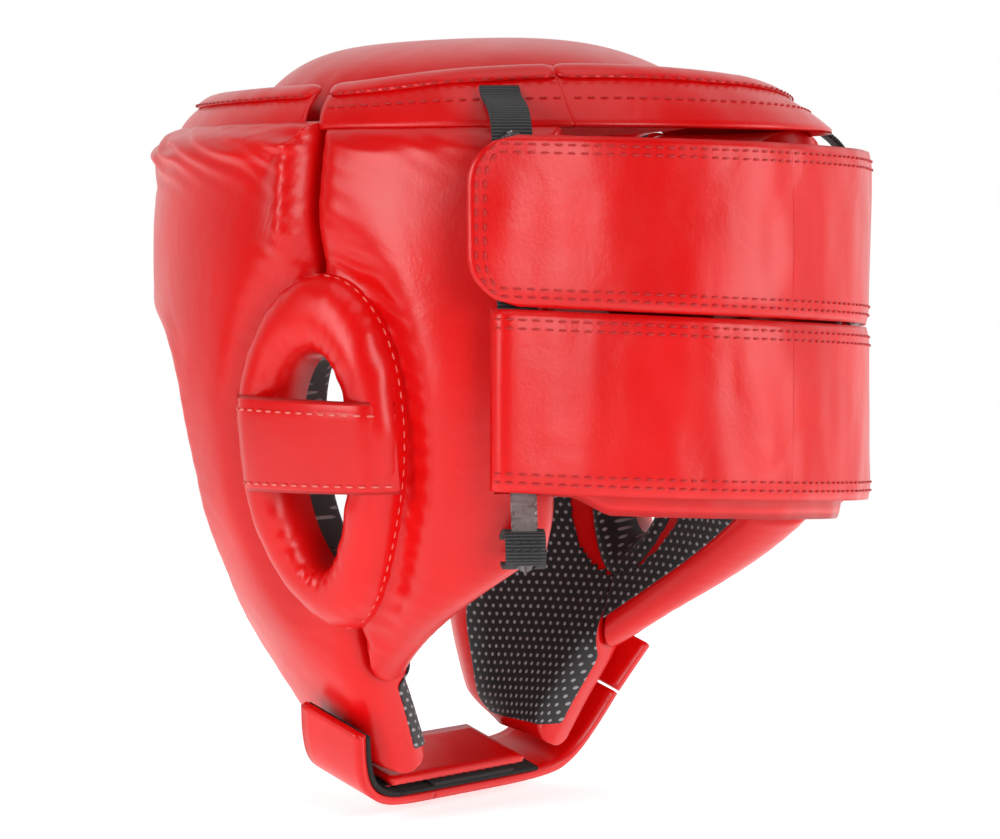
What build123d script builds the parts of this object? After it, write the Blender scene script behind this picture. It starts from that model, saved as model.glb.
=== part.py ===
"""Boxing headgear: a padded leather shell in three panels, ear rolls, crown flaps with a crown pad,
a two-way back closure on clear plastic bars, and a two-part chin strap.

Frame: +Z up, the face looks along -Y, the wearer's left is +X. The origin is the centre of the head
space at ear height. All sizes are in millimetres.
"""

import os
from math import atan2, cos, degrees, hypot, radians, sin

from build123d import *

# ---------------------------------------------------------------- driving dimensions
# Level sections of the shell's outer face: height, half width, half length, centre's Y.
FORM_SECTIONS = [
    (-122, 45, 55, 2),
    (-100, 58, 71, 8),
    (-75, 75, 91, 14),
    (-50, 89, 103, 13),
    (-20, 98, 114, 8),
    (20, 102, 120, 5),
    (60, 101, 121, 4),
    (100, 96, 117, 4),
]
LEATHER = 1.2
FOAM = 23.0
LINING = 1.8
CLEARANCE = 0.3
REACH = 160.0

PAD_TOP = 95.0
BROW = 33.0
SEAM_Y = 12.0

EAR_CENTRE = (9.0, -6.5)
EAR_RADII = (32.0, 55.5)
EAR_HOLE_CENTRE = (8.0, -9.0)
EAR_HOLE_RADII = (13.5, 33.0)
EAR_LEAN = -5.0
EAR_STRAP_WIDTH = 27.0
EAR_STRAP_THICKNESS = 2.2
EAR_STRAP_LIFT = 0.4

TONGUE_LEVEL = 97.0
FRONT_TONGUE = (-98.0, -82.0)
REAR_TAB = (71.5, 88.0)
REAR_TONGUE = (76.0, 108.0)

FLAP_BASE = (92.0, 113.0, 4.0)
FLAP_RIM = (79.0, 96.0, -1.0)
FLAP_TOP = 111.0
FLAP_THICKNESS = 1.6
BINDING_HEIGHT = 8.0
BINDING_WALL = 1.5

CROWN_CENTRE_Y = -5.0
CROWN_RADIUS = 64.0
CROWN_STRETCH = 1.17
CROWN_TOP = 124.0
CROWN_EDGE = 95.0
CROWN_THICKNESS = 17.0

# The back closure lies on one upright cylinder; its angles are counted from +X.
CLOSURE_CENTRE = (0.0, -12.0)
CLOSURE_RADIUS = 129.7
STRAP_THICKNESS = 3.0
STRAP_HEIGHT = 53.0
LOWER_STRAP_BASE = -21.0
UPPER_STRAP_BASE = 36.0
BAR_ANGLE = 45.8
BAR_WIDTH = 8.0
BAR_THICKNESS = 2.2
LEFT_BAR_SPAN = (-42.0, 93.0)
RIGHT_BAR_SPAN = (-20.0, 93.0)
SEWN_END_ANGLE = 50.5
PANEL_EDGE_ANGLE = 52.0
UPPER_TAB_ANGLES = (39.0, 78.0)
LOWER_TAB_ANGLES = (104.0, 134.0)
WEBBING_WIDTH = 13.0
WEBBING_THICKNESS = 3.9
BAR_FIT = 0.12

CHIN_TILT = 20.0
CHIN_WIDTH = 26.0
CHIN_CENTRE_Y = -17.0
CHIN_LEVEL = -110.0
CHIN_STRAP = 3.0
CHIN_HINGE = (-66.0, 20.0)
CHIN_TIP_X = 44.0
CHIN_SHORT_STRAP = 2.0
CHIN_SHORT_HINGE = 27.0

# Radii of the closure's layers, from the panels outwards.
SEAT_RADIUS = CLOSURE_RADIUS - 6.5
INNER_PASS = (CLOSURE_RADIUS - 6.2, CLOSURE_RADIUS - 6.2 + STRAP_THICKNESS)
LOOP_LAYER = (INNER_PASS[1] + 0.1, INNER_PASS[1] + 1.8)
HOOK_LAYER = (CLOSURE_RADIUS - 1.3, CLOSURE_RADIUS + 0.4)
OUTER_PASS = (CLOSURE_RADIUS + 0.5, CLOSURE_RADIUS + 0.5 + STRAP_THICKNESS)
BAR_RADIUS = CLOSURE_RADIUS - 1.75
FOLD_GAP = 5.4


def finish(part, name):
    """Writes one finished piece under its node name."""
    part.label = name
    export_step(part, f"parts/{name}.step")


def mirrored(part):
    """The same piece for the other side of the head."""
    return mirror(part, about=Plane.YZ)


# ---------------------------------------------------------------- shared shapes
def head_form(offset):
    """The solid inside the shell's outer face, grown or shrunk level by level."""
    with BuildPart() as form:
        for height, half_width, half_length, centre_y in FORM_SECTIONS:
            with BuildSketch(Plane.XY.offset(height)):
                with Locations((0, centre_y)):
                    Ellipse(half_width + offset, half_length + offset)
        loft()
    return form.part


def side_prism(corners, rounding, inset=0.0, left_only=False):
    """A prism across the head, from an outline of (Y, Z) corners."""
    with BuildPart() as prism:
        with BuildSketch(Plane.YZ) as outline:
            with BuildLine():
                Polyline(*corners, close=True)
            make_face()
            if rounding:
                fillet(outline.vertices(), rounding)
            if inset:
                offset(amount=-inset, kind=Kind.INTERSECTION)
        extrude(amount=REACH, both=not left_only)
    return prism.part


def ear_prism(centre, radii, grow=0.0):
    """A leaning oval prism through the left ear."""
    with BuildPart() as prism:
        with BuildSketch(Plane.YZ):
            with Locations(Location((*centre, 0), (0, 0, EAR_LEAN))):
                Ellipse(radii[0] + grow, radii[1] + grow)
        extrude(amount=REACH)
    return prism.part


def plan_prism(corners, low, high):
    """An upright prism from an outline of (X, Y) corners."""
    with BuildPart() as prism:
        with BuildSketch(Plane.XY.offset(low)):
            with BuildLine():
                Polyline(*corners, close=True)
            make_face()
        extrude(amount=high - low)
    return prism.part


def on_closure(radius, angle):
    """A plan point on the closure's cylinder."""
    return (
        CLOSURE_CENTRE[0] + radius * cos(radians(angle)),
        CLOSURE_CENTRE[1] + radius * sin(radians(angle)),
    )


def closure_band(radii, angles, low, high):
    """An upright band of the closure between two radii and two angles."""
    far = 2 * REACH
    with BuildPart() as band:
        with BuildSketch(Plane.XY.offset(low)):
            with Locations(CLOSURE_CENTRE):
                Circle(radii[1])
                Circle(radii[0], mode=Mode.SUBTRACT)
            with BuildLine():
                Polyline(
                    CLOSURE_CENTRE,
                    on_closure(far, angles[0]),
                    on_closure(far, angles[1]),
                    close=True,
                )
            make_face(mode=Mode.INTERSECT)
        extrude(amount=high - low)
    return band.part


# ---------------------------------------------------------------- padded panels
OUTER = head_form(0)
UNDER_LEATHER = head_form(-LEATHER)
FOAM_OUTER = head_form(-LEATHER - CLEARANCE)
FOAM_INNER = head_form(-LEATHER - FOAM)
LINING_OUTER = head_form(-LEATHER - FOAM - CLEARANCE)
LINING_INNER = head_form(-LEATHER - FOAM - LINING)

PANEL_EDGE = on_closure(SEAT_RADIUS, PANEL_EDGE_ANGLE)
EDGE_NORMAL = (cos(radians(PANEL_EDGE_ANGLE - 12)), sin(radians(PANEL_EDGE_ANGLE - 12)))


def side_wedge(inset):
    """Plan limits of a side panel: behind the temple seam, and square to its own face at the back."""
    back = (PANEL_EDGE[0] + inset * EDGE_NORMAL[1], PANEL_EDGE[1] - inset * EDGE_NORMAL[0])
    return plan_prism(
        [
            (15, SEAM_Y + CLEARANCE + inset),
            (REACH, SEAM_Y + CLEARANCE + inset),
            (back[0] + 100 * EDGE_NORMAL[0], back[1] + 100 * EDGE_NORMAL[1]),
            (back[0] - 70 * EDGE_NORMAL[0], back[1] - 70 * EDGE_NORMAL[1]),
        ],
        -REACH,
        REACH,
    )


def closure_seat(depth):
    """What the side panel loses so that the closure's inner straps lie on it."""
    with BuildPart() as seat:
        with BuildSketch(Plane.XY.offset(-REACH)):
            with Locations((0, 52 + REACH / 2)):
                Rectangle(2 * REACH, REACH)
            with Locations(CLOSURE_CENTRE):
                Circle(SEAT_RADIUS - depth, mode=Mode.SUBTRACT)
        extrude(amount=2 * REACH)
    return seat.part


FRONT_OUTLINE = [
    (-REACH, PAD_TOP),
    (SEAM_Y, PAD_TOP),
    (SEAM_Y, 45),
    (6, -70),
    (3, -106),
    (-6, -113.7),
    (-28, -105.7),
    (-45, -95),
    (-59, -72),
    (-60, -35),
    (-58, 0),
    (-68, 25),
    (-88, BROW),
    (-REACH, BROW),
]
SIDE_OUTLINE = [
    (SEAM_Y + CLEARANCE, PAD_TOP - 1),
    (REACH, PAD_TOP - 1),
    (REACH, -42),
    (83, -42),
    (10, -90),
    (5 + CLEARANCE, -88),
    (6 + CLEARANCE, -70),
    (SEAM_Y + CLEARANCE, 45),
]
CHIN_GAP_OUTLINE = [
    (24, -125),
    (34, -85),
    (44, -50),
    (44, 5),
    (-44, 5),
    (-44, -50),
    (-34, -85),
    (-24, -125),
]
FRONT_ROUNDING = 2.5
SIDE_ROUNDING = 0.0


def front_region(inset):
    """Plan and side limits of the forehead and cheek panel. The cheeks stay apart under the face."""
    with BuildPart() as chin_gap:
        with BuildSketch(Plane.XZ):
            with BuildLine():
                Polyline(*CHIN_GAP_OUTLINE, close=True)
            make_face()
            if inset:
                offset(amount=inset, kind=Kind.INTERSECTION)
        extrude(amount=REACH, both=True)
    return side_prism(FRONT_OUTLINE, FRONT_ROUNDING, inset) - chin_gap.part


def side_region(inset):
    """Plan and side limits of the left side panel."""
    outline = side_prism(SIDE_OUTLINE, SIDE_ROUNDING, inset, left_only=True)
    return outline & side_wedge(inset)


def ear_socket(grow):
    """The openings that the ear rolls stand in, on both sides."""
    left = ear_prism(EAR_CENTRE, EAR_RADII, grow)
    return left + mirrored(left)


def panel_layers(name, region, socket, seat):
    """Leather cover, foam and lining of one panel. The cover wraps the foam's outer face and edges."""
    foam_hole = socket(CLEARANCE * 2 + LEATHER)
    with BuildPart() as foam:
        add(FOAM_OUTER)
        add(FOAM_INNER, mode=Mode.SUBTRACT)
        add(region(LEATHER + CLEARANCE), mode=Mode.INTERSECT)
        add(foam_hole, mode=Mode.SUBTRACT)
        if seat:
            add(seat(LEATHER + CLEARANCE), mode=Mode.SUBTRACT)
    with BuildPart() as hollow:
        add(UNDER_LEATHER)
        add(FOAM_INNER, mode=Mode.SUBTRACT)
        add(region(LEATHER), mode=Mode.INTERSECT)
        add(socket(CLEARANCE + LEATHER), mode=Mode.SUBTRACT)
        if seat:
            add(seat(LEATHER), mode=Mode.SUBTRACT)
    with BuildPart() as cover:
        add(OUTER)
        add(FOAM_INNER, mode=Mode.SUBTRACT)
        add(region(0), mode=Mode.INTERSECT)
        add(socket(CLEARANCE), mode=Mode.SUBTRACT)
        if seat:
            add(seat(0), mode=Mode.SUBTRACT)
        add(hollow.part, mode=Mode.SUBTRACT)
    with BuildPart() as lining:
        add(LINING_OUTER)
        add(LINING_INNER, mode=Mode.SUBTRACT)
        add(region(CLEARANCE), mode=Mode.INTERSECT)
        add(socket(CLEARANCE), mode=Mode.SUBTRACT)
    return {
        f"{name}_cover": cover.part,
        f"{name}_foam": foam.part,
        f"{name}_lining": lining.part,
    }


# ---------------------------------------------------------------- ear rolls and ear straps
def ear_layers():
    """Leather cover, foam and lining of the left ear roll."""
    hole = ear_prism(EAR_HOLE_CENTRE, EAR_HOLE_RADII)
    with BuildPart() as foam:
        add(FOAM_OUTER)
        add(FOAM_INNER, mode=Mode.SUBTRACT)
        add(ear_prism(EAR_CENTRE, EAR_RADII, -LEATHER - CLEARANCE), mode=Mode.INTERSECT)
        add(ear_prism(EAR_HOLE_CENTRE, EAR_HOLE_RADII, LEATHER + CLEARANCE), mode=Mode.SUBTRACT)
    with BuildPart() as hollow:
        add(UNDER_LEATHER)
        add(FOAM_INNER, mode=Mode.SUBTRACT)
        add(ear_prism(EAR_CENTRE, EAR_RADII, -LEATHER), mode=Mode.INTERSECT)
        add(ear_prism(EAR_HOLE_CENTRE, EAR_HOLE_RADII, LEATHER), mode=Mode.SUBTRACT)
    with BuildPart() as cover:
        add(OUTER)
        add(FOAM_INNER, mode=Mode.SUBTRACT)
        add(ear_prism(EAR_CENTRE, EAR_RADII), mode=Mode.INTERSECT)
        add(hole, mode=Mode.SUBTRACT)
        add(hollow.part, mode=Mode.SUBTRACT)
    with BuildPart() as lining:
        add(LINING_OUTER)
        add(LINING_INNER, mode=Mode.SUBTRACT)
        add(ear_prism(EAR_CENTRE, EAR_RADII), mode=Mode.INTERSECT)
        add(hole, mode=Mode.SUBTRACT)
    return {"ear_roll_cover": cover.part, "ear_roll_foam": foam.part, "ear_roll_lining": lining.part}


def ear_strap():
    """The flat leather strap across the left ear hole."""
    with BuildPart() as limits:
        with BuildSketch(Plane.YZ):
            with Locations((EAR_CENTRE[0], EAR_CENTRE[1] + 2)):
                Rectangle(2 * EAR_RADII[0] - 2, EAR_STRAP_WIDTH)
        extrude(amount=REACH)
    with BuildPart() as strap:
        add(head_form(EAR_STRAP_LIFT + EAR_STRAP_THICKNESS))
        add(head_form(EAR_STRAP_LIFT), mode=Mode.SUBTRACT)
        add(limits.part, mode=Mode.INTERSECT)
    return strap.part


# ---------------------------------------------------------------- crown flaps and bindings
def crown_cone(grow, low, high):
    """The solid inside the crown flaps' leaning face."""
    span = FLAP_TOP - PAD_TOP

    def ring(height):
        share = (height - PAD_TOP) / span
        return [base + share * (rim - base) for base, rim in zip(FLAP_BASE, FLAP_RIM)]

    with BuildPart() as cone:
        for height in (low, high):
            half_width, half_length, centre_y = ring(height)
            with BuildSketch(Plane.XY.offset(height)):
                with Locations((0, centre_y)):
                    Ellipse(half_width + grow, half_length + grow)
        loft()
    return cone.part


def crown_sector(corners):
    """One crown flap and its binding, between plan limits."""
    sector = plan_prism(corners, 0, REACH)
    binding_low = FLAP_TOP - BINDING_HEIGHT
    top = FLAP_TOP + BINDING_WALL
    with BuildPart() as flap:
        add(crown_cone(0, PAD_TOP + 0.3, FLAP_TOP))
        add(crown_cone(-FLAP_THICKNESS, PAD_TOP + 0.3, FLAP_TOP), mode=Mode.SUBTRACT)
        add(sector, mode=Mode.INTERSECT)
    with BuildPart() as slot:
        add(crown_cone(0.2, binding_low - 1, FLAP_TOP + 0.2))
        add(crown_cone(-FLAP_THICKNESS - 0.2, binding_low - 1, FLAP_TOP + 0.2), mode=Mode.SUBTRACT)
    with BuildPart() as binding:
        add(crown_cone(BINDING_WALL, binding_low, top))
        add(crown_cone(-FLAP_THICKNESS - BINDING_WALL, binding_low, top), mode=Mode.SUBTRACT)
        add(sector, mode=Mode.INTERSECT)
        add(slot.part, mode=Mode.SUBTRACT)
    return flap.part, binding.part


FRONT_BACK_SPLIT = SEAM_Y - 4
REAR_SPLIT = 74.0
SPLIT_GAP = 0.3
CROWN_SECTORS = {
    "front": [(-REACH, -REACH), (REACH, -REACH), (REACH, FRONT_BACK_SPLIT), (-REACH, FRONT_BACK_SPLIT)],
    "left": [
        (0, FRONT_BACK_SPLIT + SPLIT_GAP),
        (REACH, FRONT_BACK_SPLIT + SPLIT_GAP),
        (REACH, REAR_SPLIT),
        (0, REAR_SPLIT),
    ],
    "rear": [
        (-REACH, REAR_SPLIT + SPLIT_GAP),
        (REACH, REAR_SPLIT + SPLIT_GAP),
        (REACH, REACH),
        (-REACH, REACH),
    ],
}


# ---------------------------------------------------------------- crown pad
def crown_profile(outer_gap, inner_gap):
    """Half section of the domed pad, taken in by a gap from its outer face and from its underside."""
    top = CROWN_TOP - outer_gap
    low = CROWN_TOP - CROWN_THICKNESS + inner_gap
    edge = CROWN_RADIUS - outer_gap
    with BuildLine() as half:
        dome = ThreePointArc((0, top), (edge * 0.62, top - 5.2), (edge, CROWN_EDGE + 6))
        rim = ThreePointArc(dome @ 1, (edge + 0.8, CROWN_EDGE + 1), (edge - 5, CROWN_EDGE - 3 + inner_gap))
        under = ThreePointArc(rim @ 1, (edge * 0.55, low - 3.4), (0, low))
        Line(under @ 1, dome @ 0)
    return half.line


def crown_solid(outer_gap, inner_gap):
    """The domed pad, round in plan and then stretched front to back."""
    with BuildPart() as dome:
        with BuildSketch(Plane.XZ):
            add(crown_profile(outer_gap, inner_gap))
            make_face()
        revolve(axis=Axis.Z)
        scale(by=(1, CROWN_STRETCH, 1))
    return dome.part.moved(Location((0, CROWN_CENTRE_Y, 0)))


def crown_pad_layers():
    """Leather cover, foam and lining of the crown pad. The lining closes the cover's underside."""
    with BuildPart() as foam:
        add(crown_solid(LEATHER + CLEARANCE, LINING + CLEARANCE))
    with BuildPart() as skin:
        add(crown_solid(0, 0))
        add(crown_solid(LEATHER, LINING), mode=Mode.SUBTRACT)
    with BuildPart() as underside:
        with BuildSketch(Plane.XY.offset(CROWN_EDGE - 10)):
            with Locations((0, CROWN_CENTRE_Y)):
                Ellipse(CROWN_RADIUS - 13, (CROWN_RADIUS - 13) * CROWN_STRETCH)
        extrude(amount=CROWN_TOP - CROWN_THICKNESS + LINING - CROWN_EDGE + 10.6)
    with BuildPart() as cover:
        add(skin.part)
        add(underside.part, mode=Mode.SUBTRACT)
    with BuildPart() as lining:
        add(skin.part)
        add(underside.part, mode=Mode.INTERSECT)
    return {
        "crown_pad_cover": cover.part,
        "crown_pad_foam": foam.part,
        "crown_pad_lining": lining.part,
    }


def flat_tongue(width, reach, level, thickness):
    """A flat leather tongue across the crown, between two Y positions."""
    with BuildPart() as tongue:
        with BuildSketch(Plane.XY.offset(level)):
            with Locations((0, (reach[0] + reach[1]) / 2)):
                RectangleRounded(width, reach[1] - reach[0], 3)
        extrude(amount=thickness)
    return tongue.part


# ---------------------------------------------------------------- back closure
def sided(angle, side):
    """An angle on the left of the closure, or its mirror image for side = -1."""
    return angle if side > 0 else 180 - angle


def strap_loop(side, low):
    """A strap's inner pass, from its sewn end to the bar on the given side, and the fold round it."""
    middle = (INNER_PASS[1] + OUTER_PASS[0]) / 2
    slot = (OUTER_PASS[0] - INNER_PASS[1]) / 2
    fold_angle = sided(fold_centre_angle(), side)
    beyond = sided(fold_centre_angle() + 8, side)
    centre = on_closure(middle, fold_angle)
    with BuildPart() as loop:
        with BuildSketch(Plane.XY.offset(low)):
            with Locations(centre):
                Circle(slot + STRAP_THICKNESS)
                Circle(slot, mode=Mode.SUBTRACT)
            with BuildLine():
                Polyline(
                    on_closure(middle - 20, fold_angle),
                    on_closure(middle + 20, fold_angle),
                    on_closure(middle + 20, beyond),
                    on_closure(middle - 20, beyond),
                    close=True,
                )
            make_face(mode=Mode.SUBTRACT)
        extrude(amount=STRAP_HEIGHT)
        angles = sorted((fold_angle, sided(SEWN_END_ANGLE, -side)))
        add(closure_band(INNER_PASS, angles, low, low + STRAP_HEIGHT))
    return loop.part


def fold_centre_angle():
    """Where the straps turn round the left bar: its far edge, less the fold's inner radius."""
    slot = (OUTER_PASS[0] - INNER_PASS[1]) / 2
    return BAR_ANGLE - degrees((BAR_WIDTH / 2 - slot + 1.0) / BAR_RADIUS)


def band_start():
    """Where a strap's moving band begins, clear of the fold that it swings round."""
    return fold_centre_angle() + degrees(FOLD_GAP / BAR_RADIUS)


def flat_bar(angle, low, high):
    """A clear plastic bar that a strap turns round, with rounded ends."""
    centre = on_closure(BAR_RADIUS, angle)
    plane = Plane(
        origin=(*centre, (low + high) / 2),
        x_dir=(-sin(radians(angle)), cos(radians(angle)), 0),
        z_dir=(cos(radians(angle)), sin(radians(angle)), 0),
    )
    with BuildPart() as bar:
        with BuildSketch(plane):
            RectangleRounded(BAR_WIDTH, high - low, BAR_WIDTH / 2 - 0.2)
        extrude(amount=BAR_THICKNESS / 2, both=True)
        fillet(bar.faces().sort_by(Axis(plane.origin, plane.z_dir))[-1].edges(), 0.5)
    return bar.part


def webbing_strip(angle, profile, bar):
    """Webbing bent along a profile of (radius, height) points, clear of the bar that it holds."""
    plane = Plane(
        origin=(*CLOSURE_CENTRE, 0),
        x_dir=(cos(radians(angle)), sin(radians(angle)), 0),
        z_dir=(sin(radians(angle)), -cos(radians(angle)), 0),
    )
    with BuildPart() as pocket:
        add(bar)
        offset(amount=BAR_FIT)
    with BuildPart() as strip:
        with BuildSketch(plane):
            with BuildLine():
                Polyline(*profile, close=True)
            make_face()
        extrude(amount=WEBBING_WIDTH / 2, both=True)
        add(pocket.part, mode=Mode.SUBTRACT)
    return strip.part


def crown_radius_at(angle, height, grow):
    """How far the crown flaps' face is from the closure's centre, at one angle and height."""
    share = (height - PAD_TOP) / (FLAP_TOP - PAD_TOP)
    half_width, half_length, centre_y = (
        base + share * (rim - base) for base, rim in zip(FLAP_BASE, FLAP_RIM)
    )
    low, high = 40.0, 160.0
    while high - low > 0.01:
        radius = (low + high) / 2
        x, y = on_closure(radius, angle)
        inside = hypot(x / (half_width + grow), (y - centre_y) / (half_length + grow)) < 1
        low, high = (radius, high) if inside else (low, radius)
    return low


def upper_webbing(angle, low, bar):
    """Webbing from the bar's top end up over the crown flap to its binding."""
    inner = CLOSURE_RADIUS - WEBBING_THICKNESS
    outer = CLOSURE_RADIUS
    turn = PAD_TOP + 1.5
    top = FLAP_TOP - BINDING_HEIGHT - 0.5
    base_in = crown_radius_at(angle, turn, 1.7)
    rim_in = crown_radius_at(angle, top, 1.7)
    profile = [
        (inner, low),
        (outer, low),
        (outer, turn - 1.0),
        (base_in + 4, turn + 2.4),
        (rim_in + 1.6, top),
        (rim_in, top),
        (base_in, turn),
        (inner, turn - 3.0),
    ]
    return webbing_strip(angle, profile, bar)


def lower_webbing(angle, low, foot, bar):
    """Webbing that holds the bar's lower end on the panel, whose face is at the foot radius."""
    outer = CLOSURE_RADIUS
    inner = CLOSURE_RADIUS - WEBBING_THICKNESS
    profile = [
        (foot, low + 1),
        (foot + 5, low - 3),
        (outer - 2, low - 2),
        (outer, low + 1),
        (outer, low + 14),
        (inner, low + 14),
        (inner, low + 9),
        (foot + 0.5, low + 8),
    ]
    return webbing_strip(angle, profile, bar)


# ---------------------------------------------------------------- chin strap
CHIN_PLANE = Plane(
    origin=(0, CHIN_CENTRE_Y, CHIN_LEVEL),
    x_dir=(1, 0, 0),
    z_dir=(0, -cos(radians(CHIN_TILT)), sin(radians(CHIN_TILT))),
)


def chin_band(points, thickness, radius=12.0, width=CHIN_WIDTH):
    """A strap that runs across the chin through (across, up) points, at its own thickness."""
    with BuildPart() as band:
        with BuildSketch(CHIN_PLANE):
            with BuildLine():
                if len(points) > 2:
                    FilletPolyline(*points, radius=radius)
                else:
                    Line(*points)
            trace(line_width=thickness)
        extrude(amount=width / 2, both=True)
    return band.part


def chin_pieces():
    """The long chin strap from the right cheek, the short one from the left cheek, and their patches."""
    short_level = -1.3
    hook_level = short_level - 1.75
    loop_level = hook_level - 1.4
    long_level = loop_level - 0.75 - CHIN_STRAP / 2
    corner = 51.0
    top = (CHIN_HINGE[0] - 11.0, CHIN_HINGE[1] + 17.0)
    return {
        "chin_strap_anchor": chin_band([top, (CHIN_HINGE[0] - 0.4, CHIN_HINGE[1] + 2.0)], CHIN_STRAP),
        "chin_strap_long": chin_band(
            [
                (CHIN_HINGE[0] + 0.8, CHIN_HINGE[1] - 2.0),
                (-corner, long_level),
                (CHIN_TIP_X - 0.3, long_level),
            ],
            CHIN_STRAP,
        ),
        "chin_strap_tip": chin_band(
            [(CHIN_TIP_X, long_level), (corner + 1.5, long_level), (64.0, 17.0)], CHIN_STRAP, radius=9.0
        ),
        "chin_strap_loop_patch": chin_band(
            [(-34.0, loop_level), (CHIN_TIP_X - 6, loop_level)], 1.2, width=CHIN_WIDTH - 4
        ),
        "chin_strap_short": chin_band(
            [(-23.0, short_level), (CHIN_SHORT_HINGE - 0.3, short_level)], CHIN_SHORT_STRAP
        ),
        "chin_strap_short_root": chin_band(
            [(CHIN_SHORT_HINGE + 0.3, short_level), (42.0, short_level)], CHIN_SHORT_STRAP
        ),
        "chin_strap_hook_patch": chin_band(
            [(-20.0, hook_level), (22.0, hook_level)], 1.2, width=CHIN_WIDTH - 4
        ),
    }


if __name__ == "__main__":
    os.makedirs("parts", exist_ok=True)

    for node, part in panel_layers("front", front_region, ear_socket, None).items():
        finish(part, node)
    for node, part in panel_layers("side", side_region, ear_socket, closure_seat).items():
        finish(part, f"left_{node}")
        finish(mirrored(part), f"right_{node}")
    for node, part in ear_layers().items():
        finish(part, f"left_{node}")
        finish(mirrored(part), f"right_{node}")
    finish(ear_strap(), "left_ear_strap")
    finish(mirrored(ear_strap()), "right_ear_strap")

    for place, corners in CROWN_SECTORS.items():
        flap, binding = crown_sector(corners)
        finish(flap, f"{place}_crown_flap")
        finish(binding, f"{place}_crown_binding")
        if place == "left":
            finish(mirrored(flap), "right_crown_flap")
            finish(mirrored(binding), "right_crown_binding")

    for node, part in crown_pad_layers().items():
        finish(part, node)
    finish(flat_tongue(56, FRONT_TONGUE, TONGUE_LEVEL, 1.6), "crown_pad_hinge_tongue")
    finish(flat_tongue(50, REAR_TAB, TONGUE_LEVEL, 1.6), "crown_pad_rear_tab")
    finish(flat_tongue(50, REAR_TONGUE, TONGUE_LEVEL - 2.0, 1.6), "crown_pad_landing_tongue")

    for side, word in ((1, "left"), (-1, "right")):
        angle = sided(BAR_ANGLE, side)
        span = LEFT_BAR_SPAN if side > 0 else RIGHT_BAR_SPAN
        bar = flat_bar(angle, *span)
        finish(bar, f"{word}_strap_bar")
        keeper_low = LOWER_STRAP_BASE + STRAP_HEIGHT + 1.0
        if side < 0:
            keeper_low = UPPER_STRAP_BASE + STRAP_HEIGHT + 0.7
        finish(upper_webbing(angle, keeper_low, bar), f"{word}_upper_keeper")
        foot = CLOSURE_RADIUS - (14.0 if side > 0 else 10.3)
        finish(lower_webbing(angle, span[0], foot, bar), f"{word}_lower_keeper")

    straps = (
        ("upper", -1, UPPER_STRAP_BASE, UPPER_TAB_ANGLES),
        ("lower", 1, LOWER_STRAP_BASE, LOWER_TAB_ANGLES),
    )
    for name, side, low, (tab_low, tab_high) in straps:
        high = low + STRAP_HEIGHT
        root = sided(band_start(), side)
        joint_angle = tab_high if side < 0 else tab_low
        seam = degrees(0.15 / CLOSURE_RADIUS)
        band_angles = sorted((root, joint_angle - side * seam))
        tab_angles = (tab_low + (seam if side > 0 else 0), tab_high - (seam if side < 0 else 0))
        patch_angles = (tab_low + 3, 180 - SEWN_END_ANGLE - 3)
        if side < 0:
            patch_angles = (SEWN_END_ANGLE + 3, tab_high - 3)
        finish(strap_loop(side, low), f"{name}_strap_inner_pass")
        finish(closure_band(OUTER_PASS, band_angles, low, high), f"{name}_strap_band")
        finish(closure_band(OUTER_PASS, tab_angles, low, high), f"{name}_strap_tab")
        finish(closure_band(LOOP_LAYER, patch_angles, low + 3, high - 3), f"{name}_strap_loop_patch")
        finish(closure_band(HOOK_LAYER, patch_angles, low + 3, high - 3), f"{name}_strap_hook_patch")

    for node, part in chin_pieces().items():
        finish(part, node)
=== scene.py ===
"""Looks for a boxing headgear: padded leather panels, ear rolls, crown flaps, back closure, chin strap."""

from math import asin, atan2, cos, degrees, exp, hypot, pi, radians, sin, sqrt

import bmesh
import bpy
from mathutils import Matrix, Vector, kdtree, noise


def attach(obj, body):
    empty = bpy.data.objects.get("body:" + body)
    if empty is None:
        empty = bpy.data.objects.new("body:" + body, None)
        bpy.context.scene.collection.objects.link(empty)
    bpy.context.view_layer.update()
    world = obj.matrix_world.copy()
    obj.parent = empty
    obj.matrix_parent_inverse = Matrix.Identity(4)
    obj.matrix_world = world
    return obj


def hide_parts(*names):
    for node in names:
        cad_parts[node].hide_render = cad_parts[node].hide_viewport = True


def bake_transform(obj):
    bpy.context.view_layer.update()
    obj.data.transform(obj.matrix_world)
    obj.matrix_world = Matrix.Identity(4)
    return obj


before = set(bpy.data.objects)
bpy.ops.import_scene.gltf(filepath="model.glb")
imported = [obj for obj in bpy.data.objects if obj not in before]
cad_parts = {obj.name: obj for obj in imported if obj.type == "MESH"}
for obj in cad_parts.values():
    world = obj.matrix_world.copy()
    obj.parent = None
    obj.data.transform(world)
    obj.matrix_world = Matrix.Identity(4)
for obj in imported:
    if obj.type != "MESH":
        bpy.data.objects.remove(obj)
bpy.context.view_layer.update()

bl_info = {
    "name": "Boxing headgear",
    "version": (1, 0, 0),
    "blender": (4, 5, 0),
    "location": "3D View > Sidebar > Headgear",
    "description": "Builds the leather, lining, webbing and stitching of a boxing headgear",
    "category": "Object",
}

MM = 0.001

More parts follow.
